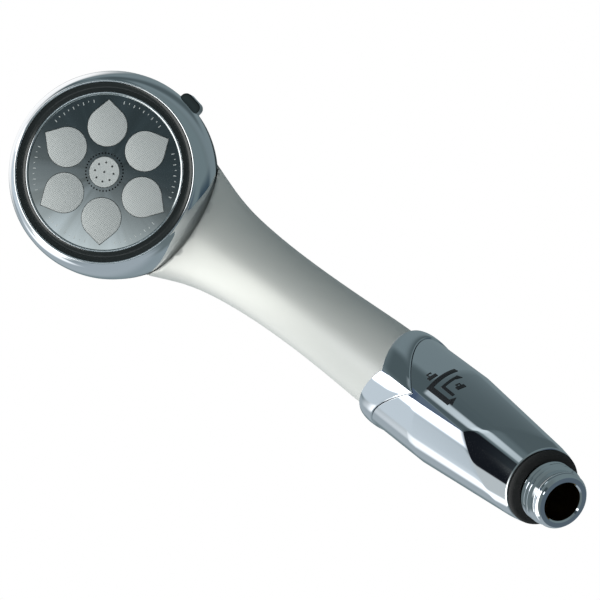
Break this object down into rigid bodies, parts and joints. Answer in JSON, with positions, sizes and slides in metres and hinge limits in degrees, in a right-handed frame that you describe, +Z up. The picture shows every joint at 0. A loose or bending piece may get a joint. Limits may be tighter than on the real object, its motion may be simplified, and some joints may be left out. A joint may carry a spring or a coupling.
{
  "type": "handheld shower head",
  "caption": "Handheld shower head with a petal-patterned spray face, a selector ring with a lever, a satin bent handle and a chrome twist-off grip holding a filter cartridge.",
  "frame": {"origin": "centre of the hose nose's sealing face, where the water comes in", "axes": "+Z up the straight grip; -Y is the spray side; +X is to the right of someone looking at the spray face"},
  "size_m": [0.0807, 0.117, 0.2774],
  "materials": {
    "plated_chrome": "bright chrome plate",
    "satin_nickel": "satin pearl nickel",
    "dark_gloss": "high gloss, dark",
    "mirror_plate": "smoked mirror",
    "screen_steel": "matt, finely perforated",
    "black_rubber": "matt rubber",
    "inner_plastic": "moulded",
    "bare_steel": "plain stainless steel",
    "filter_block": "porous block"
  },
  "bodies": {
    "grip": {"grip_shell": "plated_chrome", "collar": "plated_chrome", "bayonet_plug": "inner_plastic", "plug_o_ring": "black_rubber", "inlet_nipple": "plated_chrome", "shoulder_ring": "black_rubber", "inlet_strainer": "bare_steel", "flow_limiter": "inner_plastic"},
    "cartridge": {"cartridge_tube": "inner_plastic", "cartridge_top_cap": "inner_plastic", "cartridge_foot_cap": "inner_plastic", "filter_media": "filter_block"},
    "handle": {"handle_body": "satin_nickel", "back_cover": "satin_nickel", "water_tube": "inner_plastic", "tube_o_ring": "black_rubber", "bayonet_socket": "inner_plastic", "bezel_ring": "plated_chrome", "trim_ring": "dark_gloss", "face_plate": "mirror_plate", "petal_screen_1": "screen_steel", "petal_screen_2": "screen_steel", "petal_screen_3": "screen_steel", "petal_screen_4": "screen_steel", "petal_screen_5": "screen_steel", "petal_screen_6": "screen_steel", "centre_disc": "screen_steel", "spray_manifold": "inner_plastic", "manifold_gasket": "black_rubber", "manifold_back": "inner_plastic", "face_screws": "bare_steel", "centre_post": "inner_plastic", "centre_screw": "bare_steel", "valve_seat": "inner_plastic", "seat_screws": "bare_steel", "diverter_seal": "black_rubber", "detent_ball": "bare_steel", "detent_spring": "bare_steel", "detent_cup": "inner_plastic"},
    "selector": {"selector_ring": "plated_chrome", "diverter_disc": "inner_plastic"}
  },
  "joints": [
    {"name": "grip_twist", "type": "hinge", "parent": "cartridge", "child": "grip", "pos_m": [0, 0, 0.1], "axis": [0, 0, -1], "range_deg": [0, 60]},
    {"name": "handle_lift", "type": "slide", "parent": "cartridge", "child": "handle", "axis": [0, 0, 1], "range_m": [0, 0.006]},
    {"name": "selector_turn", "type": "hinge", "parent": "handle", "child": "selector", "pos_m": [0, -0.07186, 0.23314], "axis": [0, -0.7071, -0.7071], "range_deg": [-22, 22]}
  ],
  "couplings": [
    {"joint": "handle_lift", "follows": "grip_twist", "m_per_rad": 0.0057296}
  ]
}
